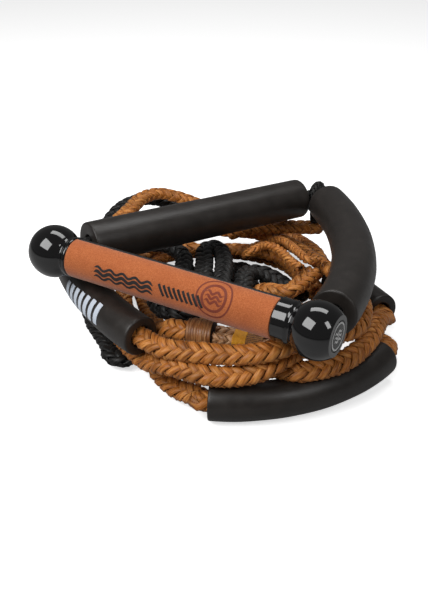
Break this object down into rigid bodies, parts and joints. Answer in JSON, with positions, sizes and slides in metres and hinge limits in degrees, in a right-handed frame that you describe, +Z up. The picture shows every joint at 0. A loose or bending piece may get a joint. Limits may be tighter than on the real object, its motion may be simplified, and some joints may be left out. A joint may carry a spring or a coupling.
{
  "type": "tow rope handle",
  "caption": "Leather-wrapped tow handle with ball ends on a foam-covered two-leg bridle, resting on its own coiled, foam-floated braided line.",
  "frame": {"origin": "middle of the footprint, on the ground plane the coil rests on", "axes": "+Z up, +X to the viewer's right, +Y away from the viewer; the bar lies near the front, turned 31 degrees clockwise seen from above"},
  "size_m": [0.2882, 0.332, 0.0976],
  "materials": {
    "brown_braid": "braided polyethylene rope, satin",
    "black_braid": "braided rope, satin",
    "gloss_black": "moulded, polished",
    "foam": "closed-cell foam, matt",
    "suede": "brushed suede",
    "backing": "matt",
    "tube_alloy": "anodised",
    "twine": "waxed whipping twine",
    "tag_yellow": "woven band",
    "tag_print": "printed label",
    "badge": "pad print on black"
  },
  "bodies": {
    "coil": {"apex_eye": "black_braid", "line_lead": "brown_braid", "brown_eye_splice": "brown_braid", "line_brown_1": "brown_braid", "line_brown_2": "brown_braid", "line_black": "black_braid", "line_black_under": "black_braid", "end_loop": "brown_braid", "whipping_wrap": "twine", "tag_band": "tag_yellow", "tag_label": "tag_print"},
    "bridle": {"bridle_rope": "black_braid"},
    "handle": {"handle_tube": "tube_alloy", "grip_sleeve": "backing", "leather_wrap": "suede", "seam_strip": "backing", "left_knob": "gloss_black", "right_knob": "gloss_black", "left_end_badge": "badge", "right_end_badge": "badge", "left_rope_knot": "black_braid", "right_rope_knot": "black_braid"},
    "float_left": {"left_bridle_float": "foam"},
    "float_right": {"right_bridle_float": "foam"},
    "float_striped": {"striped_float": "foam"},
    "float_bottom": {"bottom_float": "foam"},
    "float_line_right": {"right_line_float": "foam"}
  },
  "joints": [
    {"name": "bridle_swing", "type": "hinge", "parent": "coil", "child": "bridle", "pos_m": [0.08762, 0.09914, 0.06564], "axis": [-0.8554, 0.518, 0], "range_deg": [0, 60]},
    {"name": "handle_roll", "type": "hinge", "parent": "bridle", "child": "handle", "pos_m": [-0.02287, -0.07558, 0.07684], "axis": [-0.8554, 0.518, 0], "range_deg": [-6, 20], "stiffness_Nm_per_rad": 0.6},
    {"name": "left_float_creep", "type": "slide", "parent": "bridle", "child": "float_left", "axis": [0.8368, 0.5453, -0.0487], "range_m": [-0.001, 0], "stiffness_N_per_m": 400},
    {"name": "right_float_creep", "type": "hinge", "parent": "bridle", "child": "float_right", "pos_m": [-0.19518, 0.00763, 0.07781], "axis": [0.028, 0.0463, 0.9985], "range_deg": [-0.3, 0], "stiffness_Nm_per_rad": 30},
    {"name": "striped_float_creep", "type": "hinge", "parent": "coil", "child": "float_striped", "pos_m": [0.16555, 0.10305, 0.043], "axis": [0, 0, 1], "range_deg": [-0.57, 0], "stiffness_Nm_per_rad": 30},
    {"name": "bottom_float_creep", "type": "hinge", "parent": "coil", "child": "float_bottom", "pos_m": [0.00755, 0.00505, 0.014], "axis": [0, 0, 1], "range_deg": [0, 0.6], "stiffness_Nm_per_rad": 30},
    {"name": "right_line_float_creep", "type": "hinge", "parent": "coil", "child": "float_line_right", "pos_m": [-0.23595, -0.17795, 0.015], "axis": [0, 0, 1], "range_deg": [-0.43, 0.43], "stiffness_Nm_per_rad": 30}
  ]
}
